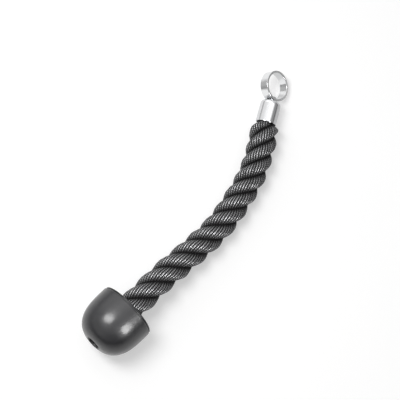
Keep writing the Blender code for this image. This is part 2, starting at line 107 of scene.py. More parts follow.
def spinUp(name, outline, steps, closed=True):
    # one vertex is pulled along the outline, and the outline is then spun about Z
    outline = holdStraights(outline) if closed else outline
    deselectAll()
    bpy.ops.mesh.primitive_plane_add(size=spinning["seedSize"], location=(0, 0, 0))
    piece = bpy.context.object
    piece.name = name
    bpy.ops.object.mode_set(mode="EDIT")
    bpy.ops.mesh.select_all(action="SELECT")
    bpy.ops.mesh.merge(type="CENTER")
    bpy.ops.transform.translate(value=(outline[0][0], 0, outline[0][1]))
    chain = outline + outline[:1] if closed else outline
    for here, there in zip(chain, chain[1:]):
        bpy.ops.mesh.extrude_region_move(TRANSFORM_OT_translate={
            "value": (there[0] - here[0], 0, there[1] - here[1])})
    bpy.ops.mesh.select_all(action="SELECT")
    bpy.ops.mesh.remove_doubles(threshold=spinning["chainWeld"])
    bpy.ops.mesh.spin(steps=steps, angle=math.tau, center=(0, 0, 0), axis=(0, 0, 1))
    bpy.ops.mesh.select_all(action="SELECT")
    bpy.ops.mesh.remove_doubles(threshold=spinning["seamWeld"])
    bpy.ops.mesh.normals_make_consistent(inside=False)
    bpy.ops.object.mode_set(mode="OBJECT")
    return piece


def smooth(piece, sharpFrom=spinning["sharpFrom"]):
    pick(piece)
    bpy.ops.object.shade_smooth_by_angle(angle=math.radians(sharpFrom))


def finishPiece(piece, material, slotName, body, *nodes):
    piece.data.materials.clear()
    piece.data.materials.append(material)
    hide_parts(*nodes)
    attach(piece, body)


# camera, at the photograph's angle

cameraView = {
    "target": (0.0129, 0.0054, 0.0150),
    "distance": 1.6,
    "elevation": math.radians(77.0),
    "turn": math.radians(-55.3),
    "focalPixels": 1525.0,
    "framePixels": 400,
    "sensor": 36.0,                 # mm
}


def makeCamera(view):
    data = bpy.data.cameras.new("camera")
    data.sensor_width = view["sensor"]
    data.lens = view["sensor"] * view["focalPixels"] / view["framePixels"]
    camera = bpy.data.objects.new("camera", data)
    bpy.context.scene.collection.objects.link(camera)
    turned = Matrix.Rotation(view["turn"], 4, "Z") @ Matrix.Rotation(
        math.pi / 2 - view["elevation"], 4, "X")
    camera.matrix_world = Matrix.Translation(view["target"]) @ turned @ Matrix.Translation(
        (0, 0, view["distance"]))
    bpy.context.scene.camera = camera


makeCamera(cameraView)
print("camera set")


# node helpers: each takes a node tree and gives the output socket of what it adds

def newMaterial(name):
    material = bpy.data.materials.new(name)
    material.use_nodes = True
    tree = material.node_tree
    return material, tree, tree.nodes["Principled BSDF"]


def addNode(tree, kind, **settings):
    node = tree.nodes.new(kind)
    for key, value in settings.items():
        if key in node.inputs:
            node.inputs[key].default_value = value
        else:
            setattr(node, key, value)
    return node


def placeOn(tree):
    return addNode(tree, "ShaderNodeTexCoord").outputs["Object"]


def splitOn(tree, source):
    split = addNode(tree, "ShaderNodeSeparateXYZ")
    tree.links.new(source, split.inputs["Vector"])
    return split.outputs


def noiseOn(tree, source, scale, detail, roughness, stretch=None):
    if stretch:
        mapping = addNode(tree, "ShaderNodeMapping", Scale=stretch)
        tree.links.new(source, mapping.inputs["Vector"])
        source = mapping.outputs["Vector"]
    noise = addNode(tree, "ShaderNodeTexNoise", Scale=scale, Detail=detail, Roughness=roughness)
    tree.links.new(source, noise.inputs["Vector"])
    return noise.outputs["Fac"]


def rampOn(tree, source, span, dark, light):
    ramp = addNode(tree, "ShaderNodeValToRGB")
    for element, place, colour in zip(ramp.color_ramp.elements, span, (dark, light)):
        element.position = place
        element.color = (*colour, 1.0)
    tree.links.new(source, ramp.inputs["Fac"])
    return ramp.outputs["Color"]


def spanOn(tree, source, low, high, lowTo=0.0, highTo=1.0):
    limits = {"From Min": low, "From Max": high, "To Min": lowTo, "To Max": highTo}
    span = addNode(tree, "ShaderNodeMapRange", **limits)
    tree.links.new(source, span.inputs["Value"])
    return span.outputs["Result"]


def mathOn(tree, operation, *values):
    node = addNode(tree, "ShaderNodeMath", operation=operation)
    for socket, value in zip(node.inputs, values):
        if isinstance(value, (int, float)):
            socket.default_value = value
        else:
            tree.links.new(value, socket)
    return node.outputs["Value"]


def waveOn(tree, operation, turns, half):
    # from 0 to 1 and back in each turn
    wave = mathOn(tree, operation, mathOn(tree, "MULTIPLY", turns, math.tau))
    return mathOn(tree, "MULTIPLY_ADD", wave, half, 0.5)


def bumpOn(tree, source, strength, distance, after=None):
    bump = addNode(tree, "ShaderNodeBump", Strength=strength, Distance=distance)
    tree.links.new(source, bump.inputs["Height"])
    if after:
        tree.links.new(after, bump.inputs["Normal"])
    return bump.outputs["Normal"]


# chrome and plated steel

chromeFinish = {
    "colour": (0.755, 0.76, 0.77),
    "roughness": (0.07, 0.15),      # from the cleanest spots to the handled ones
    "smearScale": 260.0,
    "smearSpan": (0.35, 0.75),
    "scratchScale": 900.0,
    "scratchStretch": (1.0, 1.0, 0.08),
    "scratchStrength": 0.02,
    "scratchDepth": 0.0001,
}
eyeLighterChrome = {**chromeFinish, "colour": (0.885, 0.89, 0.895)}    # the cup's chrome painted lighter on the eye: painted light


def makeChrome(name, finish):
    material, tree, shader = newMaterial(name)
    place = placeOn(tree)
    smears = noiseOn(tree, place, finish["smearScale"], detail=4.0, roughness=0.6)
    tree.links.new(spanOn(tree, smears, *finish["smearSpan"], *finish["roughness"]),
                   shader.inputs["Roughness"])
    scratches = noiseOn(tree, place, finish["scratchScale"], detail=2.0, roughness=0.5,
                        stretch=finish["scratchStretch"])
    tree.links.new(bumpOn(tree, scratches, finish["scratchStrength"], finish["scratchDepth"]),
                   shader.inputs["Normal"])
    shader.inputs["Base Color"].default_value = (*finish["colour"], 1.0)
    shader.inputs["Metallic"].default_value = 1.0
    return material


zincFinish = {
    "bright": (0.60, 0.60, 0.58),
    "dull": (0.38, 0.39, 0.40),
    "stainScale": 140.0,
    "stainSpan": (0.3, 0.7),
    "roughness": (0.28, 0.48),
    "grainScale": 700.0,
    "grainSpan": (0.3, 0.7),
    "grainStrength": 0.08,
    "grainDepth": 0.0001,
}


def makeZinc(name, finish):
    material, tree, shader = newMaterial(name)
    place = placeOn(tree)
    stains = noiseOn(tree, place, finish["stainScale"], detail=5.0, roughness=0.6)
    grain = noiseOn(tree, place, finish["grainScale"], detail=2.0, roughness=0.5)
    tree.links.new(rampOn(tree, stains, finish["stainSpan"], finish["dull"], finish["bright"]),
                   shader.inputs["Base Color"])
    tree.links.new(spanOn(tree, grain, *finish["grainSpan"], *finish["roughness"]),
                   shader.inputs["Roughness"])
    tree.links.new(bumpOn(tree, grain, finish["grainStrength"], finish["grainDepth"]),
                   shader.inputs["Normal"])
    shader.inputs["Metallic"].default_value = 1.0
    return material


# rope: three strands of yarn, laid to the right

rope = {
    "radius": 0.0153,
    "strands": 3,
    "strandRadius": 0.0086,         # of the round part, before neighbours flatten it
    "strandGap": 0.00010,           # from a strand to the plane between it and the next
    "cornerSharpness": 9.0,         # where the flat sides meet the round part
    "sectionSamples": 1440,
    "leastRise": 0.001,             # below which a direction meets no neighbour
    "layAtStopper": 0.0780,
    "layAtEye": 0.0510,
    "phase": math.radians(64.0),
    "straightEnd": 0.0040,          # at each end, without twist
    "untwist": 0.0090,              # over which the twist then comes in
    "neckLength": 0.0070,           # over which it narrows into a cup
    "stopperCupDepth": 0.0154,      # rope end to the inner cup's rim
    "stopperCupShare": 0.882,       # width inside it, of the free width
    "eyeCupDepth": 0.0192,
    "eyeCupShare": 0.614,
    "yarns": 18,                    # round each strand
    "pointsPerYarn": 8,
    "ringStep": 0.0016,
    "yarnDepth": 0.00070,
    "yarnSlant": 0.96,              # 1 keeps the yarns along the rope on its outside
    "yarnHeights": (0.65, 1.15),    # shares of the depth, at random
    "sway": 0.10,                   # of a yarn's height along the rope, at most, for each wave
    "swayWaves": (6, 9, 12, 15),    # from end to end
    "seed": 7,
    "lift": 0.0165022,              # of the stopper's mouth above the lying rope
    "lineSamples": 1200,
    "cordStep": 4,                  # of these, between the points told to the cord
    "sharpFrom": 80,
}
centimetres = 100                   # to a metre

ropeRoute = [                       # x, y and the share of the lift
    (-0.1511, 0.0023, 1.196), (-0.1396, 0.0003, 1.098), (-0.1281, -0.0018, 1.000),
    (-0.1162, -0.0041, 0.896), (-0.1042, -0.0061, 0.788), (-0.0922, -0.0080, 0.675),
    (-0.0772, -0.0107, 0.533), (-0.0622, -0.0141, 0.398), (-0.0473, -0.0176, 0.278),
    (-0.0323, -0.0211, 0.171), (-0.0172, -0.0243, 0.089), (-0.0022, -0.0266, 0.030),
    (0.0129, -0.0276, 0.000), (0.0279, -0.0274, 0.000), (0.0429, -0.0267, 0.000),
    (0.0580, -0.0253, 0.000), (0.0732, -0.0225, 0.000), (0.0884, -0.0180, 0.000),
    (0.1035, -0.0124, 0.002), (0.1209, -0.0044, 0.012), (0.1299, -0.0012, 0.022),
    (0.1390, 0.0020, 0.032),
]


def unit(rows):
    return rows / np.linalg.norm(rows, axis=1)[:, None]


def lengthsAlong(points):
    steps = np.linalg.norm(np.diff(points, axis=0), axis=1)
    return np.concatenate(([0], np.cumsum(steps)))


def smoothLine(points, samples):
    # natural cubic spline, as arc lengths, places and directions
    knots = lengthsAlong(points)
    steps = np.diff(knots)
    count = len(points)
    system, rightSide = np.eye(count), np.zeros((count, 3))
    for row in range(1, count - 1):
        before, after = steps[row - 1], steps[row]
        system[row, row - 1:row + 2] = before, 2 * (before + after), after
        rightSide[row] = 6 * ((points[row + 1] - points[row]) / after
                              - (points[row] - points[row - 1]) / before)
    bend = np.linalg.solve(system, rightSide)
    along = np.linspace(0, knots[-1], samples)
    span = np.clip(np.searchsorted(knots, along, side="right") - 1, 0, count - 2)
    width = steps[span][:, None]
    ahead = (along - knots[span])[:, None] / width
    behind = 1 - ahead
    curve = (behind**3 - behind) * bend[span] + (ahead**3 - ahead) * bend[span + 1]
    places = behind * points[span] + ahead * points[span + 1] + curve * width**2 / 6
    lengths = lengthsAlong(places)
    return lengths, places, unit(np.gradient(places, lengths, axis=0))


def sideDirections(directions):
    # two directions across the line, carried along it without twist
    first = np.zeros_like(directions)
    first[0] = np.cross(directions[0], (0, 0, 1))
    first[0] /= np.linalg.norm(first[0])
    for index in range(1, len(directions)):
        carried = first[index - 1] - directions[index] * (first[index - 1] @ directions[index])
        first[index] = carried / np.linalg.norm(carried)
    return first, np.cross(directions, first)


def strandSection(rope):
    # outline of one strand across the rope: round outside, flattened where it meets the others
    offCentre = rope["radius"] - rope["strandRadius"] - rope["yarnDepth"]
    angle = np.linspace(0, math.tau, rope["sectionSamples"], endpoint=False)
    wall = math.tan(math.pi / rope["strands"])
    inset = offCentre - rope["strandGap"]
    rise = np.abs(np.sin(angle)) - wall * np.cos(angle)
    least = rope["leastRise"]
    toWall = np.where(rise > least, wall * inset / np.maximum(rise, least), 1.0)
    sharp = rope["cornerSharpness"]
    reach = (rope["strandRadius"] ** -sharp + toWall ** -sharp) ** (-1 / sharp)
    outline = np.stack([offCentre + reach * np.cos(angle), reach * np.sin(angle)], axis=1)
    closed = np.vstack([outline, outline[:1]])
    tangent = unit(np.roll(outline, -1, axis=0) - np.roll(outline, 1, axis=0))
    normal = np.stack([tangent[:, 1], -tangent[:, 0]], axis=1)
    return closed, np.vstack([normal, normal[:1]]), lengthsAlong(closed)


def widthShare(rope, lengths, total):
    # the rope narrows into the cup at each end
    def swelling(fromRim, narrow):
        out = np.clip(fromRim / rope["neckLength"], 0, 1)
        return narrow + (1 - narrow) * np.sin(math.pi / 2 * out)
    return np.minimum(swelling(lengths - rope["stopperCupDepth"], rope["stopperCupShare"]),
                      swelling(total - lengths - rope["eyeCupDepth"], rope["eyeCupShare"]))


def ropeTwist(rope, lengths, total):
    lay = rope["layAtStopper"] + (rope["layAtEye"] - rope["layAtStopper"]) * lengths / total
    fromEnd = np.minimum(lengths, total - lengths)
    rate = math.tau / lay * np.clip((fromEnd - rope["straightEnd"]) / rope["untwist"], 0, 1)
    return np.concatenate(([0], np.cumsum((rate[1:] + rate[:-1]) / 2 * np.diff(lengths))))


def ropeLine(rope, route):
    points = np.array([(x, y, rope["radius"] + share * rope["lift"]) for x, y, share in route])
    return smoothLine(points, rope["lineSamples"])


def ropePoints(rope, line, stops):
    # rings of points on each strand, and how far out from the rope's middle each point lies
    lengths, places, directions = line
    total = lengths[-1]
    twist = ropeTwist(rope, lengths, total)
    outline, outward, around = strandSection(rope)
    perimeter = around[-1]

    def at(values):
        return np.stack([np.interp(stops, lengths, values[:, axis]) for axis in range(3)], axis=1)

    middle = at(places)
    across, upwards = [at(side) for side in sideDirections(directions)]
    turn = np.interp(stops, lengths, twist) + rope["phase"]
    share = np.interp(stops, lengths, widthShare(rope, lengths, total))
    slide = np.interp(stops, lengths, twist) * rope["radius"] * rope["yarnSlant"] / perimeter

    sides = rope["yarns"] * rope["pointsPerYarn"]
    column = np.arange(sides)
    yarn = column // rope["pointsPerYarn"]
    inYarn = (column % rope["pointsPerYarn"]) / rope["pointsPerYarn"]
    crown = np.sin(math.pi * inYarn)                # round across each yarn
    waves = rope["swayWaves"]
    random = np.random.default_rng(rope["seed"])
    points, heights = [], []
    for strand in range(rope["strands"]):
        yarnHeight = random.uniform(*rope["yarnHeights"], rope["yarns"])
        wander = random.uniform(-rope["sway"], rope["sway"], (rope["yarns"], len(waves)))
        for ring, stop in enumerate(stops):
            sway = sum(wander[yarn, index] * np.sin(math.tau * wave * stop / total + yarn)
                       for index, wave in enumerate(waves))
            u = (column / sides - slide[ring]) % 1.0 * perimeter
            x, y = [np.interp(u, around, outline[:, axis]) for axis in range(2)]
            outX, outY = [np.interp(u, around, outward[:, axis]) for axis in range(2)]
            lift = rope["yarnDepth"] * crown * yarnHeight[yarn] * (1 + sway)
            heights.append(np.hypot(x, y) / rope["radius"])         # low down in a groove
            x, y = (x + outX * lift) * share[ring], (y + outY * lift) * share[ring]
            angle = turn[ring] + math.tau * strand / rope["strands"]
            eastward = math.cos(angle) * across[ring] + math.sin(angle) * upwards[ring]
            northward = -math.sin(angle) * across[ring] + math.cos(angle) * upwards[ring]
            points.append(middle[ring] + x[:, None] * eastward + y[:, None] * northward)
    return np.concatenate(points), np.concatenate(heights)


def strandFaces(rope, start, stops):
    # faces of one strand whose points begin at start, and their places on the yarn map
    sides, rings = rope["yarns"] * rope["pointsPerYarn"], len(stops) - 1
    faces, uvs = [], []
    for ring in range(rings):
        low, high = start + ring * sides, start + (ring + 1) * sides
        v0, v1 = stops[ring] * centimetres, stops[ring + 1] * centimetres
        for side in range(sides):
            nextSide = (side + 1) % sides
            faces.append((low + side, low + nextSide, high + nextSide, high + side))
            u0, u1 = side / rope["pointsPerYarn"], (side + 1) / rope["pointsPerYarn"]
            uvs += [(u0, v0), (u1, v0), (u1, v1), (u0, v1)]
    faces.append(tuple(start + side for side in reversed(range(sides))))
    faces.append(tuple(start + rings * sides + side for side in range(sides)))
    return faces, uvs + [(0.0, 0.0)] * (2 * sides)


def makeRope(rope, line):
    total = line[0][-1]
    stops = np.linspace(0, total, int(total / rope["ringStep"]) + 1)
    points, heights = ropePoints(rope, line, stops)
    faces, uvs = [], []
    for strand in range(rope["strands"]):
        start = strand * len(points) // rope["strands"]
        strandPart, mapPart = strandFaces(rope, start, stops)
        faces += strandPart
        uvs += mapPart
    mesh = bpy.data.meshes.new("rope")
    mesh.from_pydata(points.tolist(), [], faces)
    layer = mesh.uv_layers.new(name="yarnMap")
    layer.data.foreach_set("uv", np.array(uvs).ravel())
    height = mesh.attributes.new("strandHeight", "FLOAT", "POINT")
    height.data.foreach_set("value", heights)
    mesh.validate()
    piece = bpy.data.objects.new("rope", mesh)
    bpy.context.scene.collection.objects.link(piece)
    smooth(piece, rope["sharpFrom"])
    return piece


yarnFinish = {
    # painted shade, down in the creases between yarns
    "paintedCreaseShade": (0.002, 0.002, 0.002),
    "dark": (0.050, 0.050, 0.051),
    "light": (0.420, 0.420, 0.430),
    "fibreSpan": (0.20, 0.85),          # of the blend below, from dark to light
    "yarnBlend": 0.20,                  # shares of chance, ply and patches in it: chance and patches are the yarns' own tone, the ply's share a painted highlight on each ply's crown
    "plyPaintedHighlight": 0.55,
    "patchBlend": 0.25,
    "patchStretch": (1.2, 2.0, 1.0),
    "roughness": (0.23, 0.90),          # on top of a yarn, and down in a crease
    "yarnShare": (0.20, 0.80),          # of its height, from painted crease shade to unshaded fibre
    "grooveShare": (0.70, 0.90),        # of the rope's radius, from painted groove shade to unshaded strand
    "paintedGrooveShade": 0.05,
    "plyPerCentimetre": 4.8,
    "plySlant": 0.7,
    "plyShift": 9.0,                    # turns by which a yarn's ply is shifted, at most
    "plyHeight": 0.5,                   # of the yarn's
    "plyDepth": 0.00018,
    "glint": 0.30,
    "lustre": 0.75,                     # of lit fibre, as a share of metal
    "stretch": 0.8,                     # of the gleam, across the yarns
}


def makeYarn(name, finish):
    material, tree, shader = newMaterial(name)
    link, inputs = tree.links.new, shader.inputs
    uv = addNode(tree, "ShaderNodeUVMap", uv_map="yarnMap").outputs["UV"]
    split = splitOn(tree, uv)
    across, along = split["X"], split["Y"]          # in yarns, and in centimetres

    yarnNumber = mathOn(tree, "FLOOR", across)
    inYarn = mathOn(tree, "SUBTRACT", across, yarnNumber)
    swell = waveOn(tree, "COSINE", inYarn, -0.5)    # 0 in the creases, 1 on top
    whiteNoise = addNode(tree, "ShaderNodeTexWhiteNoise", noise_dimensions="1D")
    link(yarnNumber, whiteNoise.inputs["W"])
    chance = whiteNoise.outputs["Value"]
    start = mathOn(tree, "MULTIPLY_ADD", chance, finish["plyShift"],
                   mathOn(tree, "MULTIPLY", inYarn, finish["plySlant"]))
    turns = mathOn(tree, "MULTIPLY_ADD", along, finish["plyPerCentimetre"], start)
    ply = waveOn(tree, "SINE", turns, 0.5)
    patches = noiseOn(tree, uv, 1.0, detail=3.0, roughness=0.6, stretch=finish["patchStretch"])
    # the ply's wave, which also bumps the yarn, lightens each ply's crown in colour: painted
    # highlight
    blend = mathOn(tree, "MULTIPLY_ADD", chance, finish["yarnBlend"],
                   mathOn(tree, "MULTIPLY", ply, finish["plyPaintedHighlight"]))
    blend = mathOn(tree, "MULTIPLY_ADD", patches, finish["patchBlend"], blend)
    fibre = rampOn(tree, blend, finish["fibreSpan"], finish["dark"], finish["light"])

    # painted shade: the colour darkens low in the grooves between strands
    height = addNode(tree, "ShaderNodeAttribute", attribute_name="strandHeight").outputs["Fac"]
    grooveShadeFactor = spanOn(tree, height, *finish["grooveShare"], finish["paintedGrooveShade"], 1.0)
    lit = mathOn(tree, "MULTIPLY", grooveShadeFactor, spanOn(tree, swell, *finish["yarnShare"]))
    # painted shade: creases between yarns and grooves between strands are mixed towards a
    # near-black colour
    shade = addNode(tree, "ShaderNodeMix", data_type="RGBA")
    link(lit, shade.inputs["Factor"])
    paintedCreaseShade, top = [socket for socket in shade.inputs if socket.type == "RGBA"]
    paintedCreaseShade.default_value = (*finish["paintedCreaseShade"], 1.0)
    link(fibre, top)
    shaded = next(socket for socket in shade.outputs if socket.type == "RGBA")
    link(shaded, inputs["Base Color"])
    glossy, dull = finish["roughness"]
    link(spanOn(tree, lit, 0, 1, dull, glossy), inputs["Roughness"])
    link(mathOn(tree, "MULTIPLY", lit, finish["lustre"]), inputs["Metallic"])
    relief = mathOn(tree, "MULTIPLY_ADD", ply, finish["plyHeight"], swell)
    link(bumpOn(tree, relief, 1.0, finish["plyDepth"]), inputs["Normal"])
    tangent = addNode(tree, "ShaderNodeTangent", direction_type="UV_MAP", uv_map="yarnMap")
    link(tangent.outputs["Tangent"], inputs["Tangent"])
    inputs["Anisotropic"].default_value = finish["stretch"]
    inputs["Specular IOR Level"].default_value = finish["glint"]
    return material


centreLine = ropeLine(rope, ropeRoute)
ropePiece = makeRope(rope, centreLine)
finishPiece(ropePiece, makeYarn("ropeYarn", yarnFinish), "rope_fibre", "handle",
            "rope_strand_1", "rope_strand_2", "rope_strand_3")
lineLengths, linePlaces, lineDirections = centreLine
print("rope laid,", len(ropePiece.data.polygons), "faces")


# rubber stopper, turned about the rope's end

stopper = {
    "radius": 0.03225,
    "length": 0.0508,
    "mouthFace": -0.0253,           # along the axis, from the rope's end
    "side": 0.0103,                 # straight part
    "fullness": 2.7,                # of the dome: 2 is an oval, more is squarer
    "recessRadius": 0.0075,
    "recessEdge": 0.0018,
    "recessFloor": 0.0139,
    "mouthRadius": 0.0159,
    "mouthEdge": 0.0015,
    "mouthFloor": 0.0079,
    "boltHole": 0.0044,
    "lipStep": 0.0008,
    "lipLength": 0.0024,
    "bodyEdge": 0.0008,             # rounding towards the lip
    "lipEdge": 0.0008,
    "beadEdge": 0.0005,             # rounding of the lip towards the groove
    "grooveWidth": 0.0012,          # between body and lip
    "grooveDepth": 0.0011,
    "domeSteps": 40,
    "edgeSteps": 6,
    "beadSteps": 5,
    "recessSteps": 8,
    "turnSteps": 192,
}


def makeStopper(stopper):
    radius, face = stopper["radius"], stopper["mouthFace"]
    top = face + stopper["length"]
    domeStart = face + stopper["side"]
    recess, recessEdge = stopper["recessRadius"], stopper["recessEdge"]
    edgeRadius = recess + recessEdge
    steps, power = stopper["edgeSteps"], 2 / stopper["fullness"]
    firstTurn = math.asin((edgeRadius / radius) ** (stopper["fullness"] / 2))
    outline = []
    for step in range(stopper["domeSteps"] + 1):
        turn = firstTurn + (math.pi / 2 - firstTurn) * step / stopper["domeSteps"]
        rise = max(math.cos(turn), 0) ** power
        outline.append((radius * math.sin(turn) ** power, domeStart + (top - domeStart) * rise))
    edgeTop = outline[0][1]

    lipTop = face + stopper["lipLength"]
    lipRadius = radius - stopper["lipStep"]
    edge, bodyEdge, bead = stopper["lipEdge"], stopper["bodyEdge"], stopper["beadEdge"]
    grooveRadius, grooveEnd = lipRadius - stopper["grooveDepth"], lipTop - stopper["grooveWidth"]
    outline += arcCorner((radius, lipTop), (radius, lipTop + bodyEdge),
                         (radius - bodyEdge, lipTop), steps)
    outline += [(grooveRadius, lipTop), (grooveRadius, grooveEnd)]
    outline += arcCorner((lipRadius, grooveEnd), (lipRadius - bead, grooveEnd),
                         (lipRadius, grooveEnd - bead), stopper["beadSteps"])
    outline += arcCorner((lipRadius, face), (lipRadius, face + edge),
                         (lipRadius - edge, face), steps)

    mouth, mouthEdge = stopper["mouthRadius"], stopper["mouthEdge"]
    mouthFloor, recessFloor = stopper["mouthFloor"], stopper["recessFloor"]
    bolt = stopper["boltHole"]
    outline += arcCorner((mouth, face), (mouth + mouthEdge, face), (mouth, face + mouthEdge), steps)
    outline += [(mouth, mouthFloor), (bolt, mouthFloor), (bolt, recessFloor), (recess, recessFloor)]
    outline += arcCorner((recess, edgeTop), (recess, edgeTop - recessEdge),
                         (edgeRadius, edgeTop), stopper["recessSteps"])[:-1]
    return spinUp("stopper", outline, stopper["turnSteps"])


rubberFinish = {
    "dark": (0.010, 0.010, 0.012),
    "light": (0.021, 0.021, 0.024),
    "colourSpan": (0.30, 0.75),
    "roughness": (0.30, 0.40),
    "roughSpan": (0.30, 0.70),
    "gloss": 0.42,
    "skin": 0.55,                       # weight of the smoother skin
    "skinRoughness": 0.18,
    "cloudScale": 55.0,
    "grainScale": 1500.0,
    "grainStrength": 0.06,
    "grainDepth": 0.0002,
    "waveScale": 300.0,                 # of the moulding's faint unevenness
    "waveStrength": 0.22,
    "waveDepth": 0.0003,
}


def makeRubber(name, finish):
    material, tree, shader = newMaterial(name)
    link, inputs = tree.links.new, shader.inputs
    place = placeOn(tree)
    clouds = noiseOn(tree, place, finish["cloudScale"], detail=4.0, roughness=0.55)
    grain = noiseOn(tree, place, finish["grainScale"], detail=3.0, roughness=0.5)
    waves = noiseOn(tree, place, finish["waveScale"], detail=2.0, roughness=0.5)
    link(rampOn(tree, clouds, finish["colourSpan"], finish["dark"], finish["light"]),
         inputs["Base Color"])
    link(spanOn(tree, clouds, *finish["roughSpan"], *finish["roughness"]), inputs["Roughness"])
    uneven = bumpOn(tree, waves, finish["waveStrength"], finish["waveDepth"])
    uneven = bumpOn(tree, grain, finish["grainStrength"], finish["grainDepth"], uneven)
    link(uneven, inputs["Normal"])
    link(uneven, inputs["Coat Normal"])
    inputs["Specular IOR Level"].default_value = finish["gloss"]
    inputs["Coat Weight"].default_value = finish["skin"]
    inputs["Coat Roughness"].default_value = finish["skinRoughness"]
    return material


stopperPiece = makeStopper(stopper)
setDown(stopperPiece, standAlong(linePlaces[0], -lineDirections[0]))
smooth(stopperPiece)
finishPiece(stopperPiece, makeRubber("stopperRubber", rubberFinish), "stopper_rubber", "handle",
            "rubber_stopper")
print("stopper made")


# eye, its cup and its pin

eye = {
    "radius": 0.0165,
    "wall": 0.0024,
    "width": 0.0100,
    "edge": 0.0003,
    "holeRadius": 0.0036,
    "holeSides": 64,
    "holeTurn": math.radians(1.7),  # keeps the drill's corners off the band's edges
    "drillLength": 0.0096,
    "rock": math.radians(6.0),      # of the band on its pin
    "turn": math.radians(45.0),     # about the pin
    "edgeSteps": 5,
    "turnSteps": 192,
}


def makeEye(eye, stand):
    outer, half, edge, steps = eye["radius"], eye["width"] / 2, eye["edge"], eye["edgeSteps"]
    inner = outer - eye["wall"]
    outline = arcCorner((outer, half), (outer - edge, half), (outer, half - edge), steps)
    outline += arcCorner((outer, -half), (outer, -half + edge), (outer - edge, -half), steps)
    outline += arcCorner((inner, -half), (inner + edge, -half), (inner, -half + edge), steps)
    outline += arcCorner((inner, half), (inner, half - edge), (inner + edge, half), steps)
    band = spinUp("eyeBand", outline, eye["turnSteps"])
    seat = stand @ Matrix.Rotation(eye["turn"], 4, "Z") @ Matrix.Rotation(-eye["rock"], 4, "Y")
    setDown(band, seat @ Matrix.Translation((0, 0, outer)) @ Matrix.Rotation(math.pi / 2, 4, "Y"))
    deselectAll()
    bpy.ops.mesh.primitive_cylinder_add(radius=eye["holeRadius"], depth=eye["drillLength"],
                                        vertices=eye["holeSides"])
    drill = bpy.context.object
    drill.matrix_world = seat @ Matrix.Rotation(eye["holeTurn"], 4, "Z")
    pick(band)
    hole = band.modifiers.new("pinHole", "BOOLEAN")
    hole.object = drill
    hole.operation = "DIFFERENCE"
    bpy.ops.object.modifier_apply(modifier="pinHole")
    bpy.data.objects.remove(drill, do_unlink=True)
    return band


cup = {
    "radius": 0.0110,
    "wall": 0.0013,
    "top": -0.00082,                # along the axis, from the eye's seat
    "length": 0.0250,
    "crown": 0.0020,
    "shoulder": 0.0045,
    "lip": 0.0005,
    "pinHole": 0.0033,
    "shoulderSteps": 16,
    "lipSteps": 5,
    "innerSteps": 8,
    "turnSteps": 160,
}


def makeCup(cup):
    outer, top, shoulder, lip = cup["radius"], cup["top"], cup["shoulder"], cup["lip"]
    bore, rim = outer - cup["wall"], top - cup["length"]
    innerTop, innerShoulder = top - cup["crown"], shoulder - cup["crown"]
    outline = arcCorner((outer, top), (outer - shoulder, top), (outer, top - shoulder),
                        cup["shoulderSteps"])
    outline += arcCorner((outer, rim), (outer, rim + lip), (outer - lip, rim), cup["lipSteps"])
    outline += arcCorner((bore, rim), (bore + lip, rim), (bore, rim + lip), cup["lipSteps"])
    outline += arcCorner((bore, innerTop), (bore, innerTop - innerShoulder),
                         (bore - innerShoulder, innerTop), cup["innerSteps"])
    outline += [(cup["pinHole"], innerTop), (cup["pinHole"], top)]
    return spinUp("cup", outline, cup["turnSteps"])


pin = {
    "radius": 0.0030,
    "headRadius": 0.0041,
    "headHeight": 0.0018,
    "headFoot": 0.00340,            # along the axis, from the eye's seat
    "tailRadius": 0.0045,
    "tailTop": -0.00492,
    "tailHeight": 0.0014,
    "headSteps": 12,
    "turnSteps": 64,
}


def makePin(pin):
    foot, top = pin["headFoot"], pin["headFoot"] + pin["headHeight"]
    tailTop, tailEnd = pin["tailTop"], pin["tailTop"] - pin["tailHeight"]
    outline = arcCorner((pin["headRadius"], top), (0, top), (pin["headRadius"], foot),
                        pin["headSteps"])
    outline += [(pin["radius"], foot), (pin["radius"], tailTop), (pin["tailRadius"], tailTop),
                (pin["tailRadius"], tailEnd), (0, tailEnd)]
    return spinUp("swivelPin", outline, pin["turnSteps"], closed=False)


swivel = frame["joints"][0]
eyeStand = standAlong(swivel["pos_m"], swivel["axis"])
eyePiece = makeEye(eye, eyeStand)
smooth(eyePiece)
finishPiece(eyePiece, makeChrome("eyeChrome", eyeLighterChrome), "eye_chrome", "eye", "eye_ring")
cupPiece = makeCup(cup)
setDown(cupPiece, eyeStand)
smooth(cupPiece)
finishPiece(cupPiece, makeChrome("cupChrome", chromeFinish), "cup_chrome", "handle", "eye_cup")
pinPiece = makePin(pin)
setDown(pinPiece, eyeStand)
smooth(pinPiece)
finishPiece(pinPiece, makeChrome("pinChrome", chromeFinish), "pin_chrome", "handle", "swivel_pin")
print("eye, cup and pin made")

for nodeName in ("pin_washer", "end_cup", "end_nut", "stopper_washer", "stopper_bolt"):
    node = frame["nodes"][nodeName]
    node.data.materials.clear()
    node.data.materials.append(makeZinc(nodeName + "Zinc", zincFinish))
print("inner steel plated")


# floor, world and lamps

floorPaper = {
    "size": 8.0,
    "drop": 0.0002,                 # below the object's lowest point
    "colour": (0.66, 0.66, 0.66),
    "glow": (0.42, 0.74),           # for the camera, near and far
    "farAway": (0.4, 2.0),
    "paintedReflectionGlow": 0.30,                # glow seen only in reflections, not to the right of the eye: a painted reflection
    "growsBack": (-0.035, 0.030),   # y over which that grows
    "growsFront": (0.060, -0.020),  # x over which it grows
    "reach": (0.26, 0.40),          # distance over which it fades
    "faded": 0.10,
}


